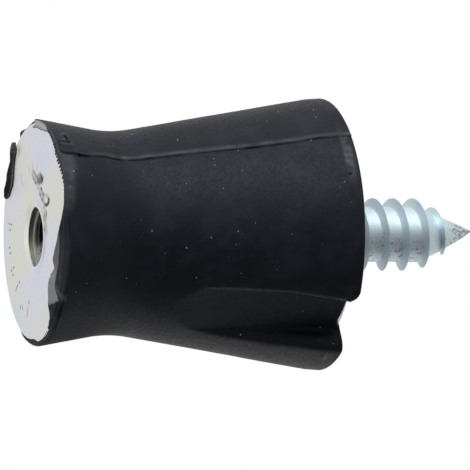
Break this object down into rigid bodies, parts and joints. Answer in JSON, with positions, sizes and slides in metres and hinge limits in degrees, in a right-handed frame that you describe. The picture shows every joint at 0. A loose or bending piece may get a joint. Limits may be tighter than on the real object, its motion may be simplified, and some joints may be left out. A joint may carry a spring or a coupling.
{
  "type": "anti-vibration mount",
  "caption": "Waisted rubber damping mount with a threaded steel plate at its small end and a self-tapping screw standing out of its flared end.",
  "frame": {"origin": "centre of the nut plate's outer face, which the mount stands on", "axes": "+Z along the mount's axis from the nut plate to the screw's tip; the locating groove faces -Y; the mould's parting line lies at +X and -X"},
  "size_m": [0.0232, 0.0226, 0.0388],
  "materials": {
    "zinc_plate": "pressed steel with clear-passivated zinc plating, satin, lightly scuffed",
    "zinc_bush": "turned steel with clear-passivated zinc plating, satin",
    "zinc_screw": "rolled and hardened steel with blue-passivated zinc plating, semi-bright",
    "rubber": "moulded black rubber, satin matt, with a parting line and specks of dust"
  },
  "bodies": {
    "root": {"nut_plate": "zinc_plate", "nut_bush": "zinc_bush", "rubber_body": "rubber", "end_plate": "zinc_plate", "tapping_screw": "zinc_screw"}
  },
  "joints": []
}
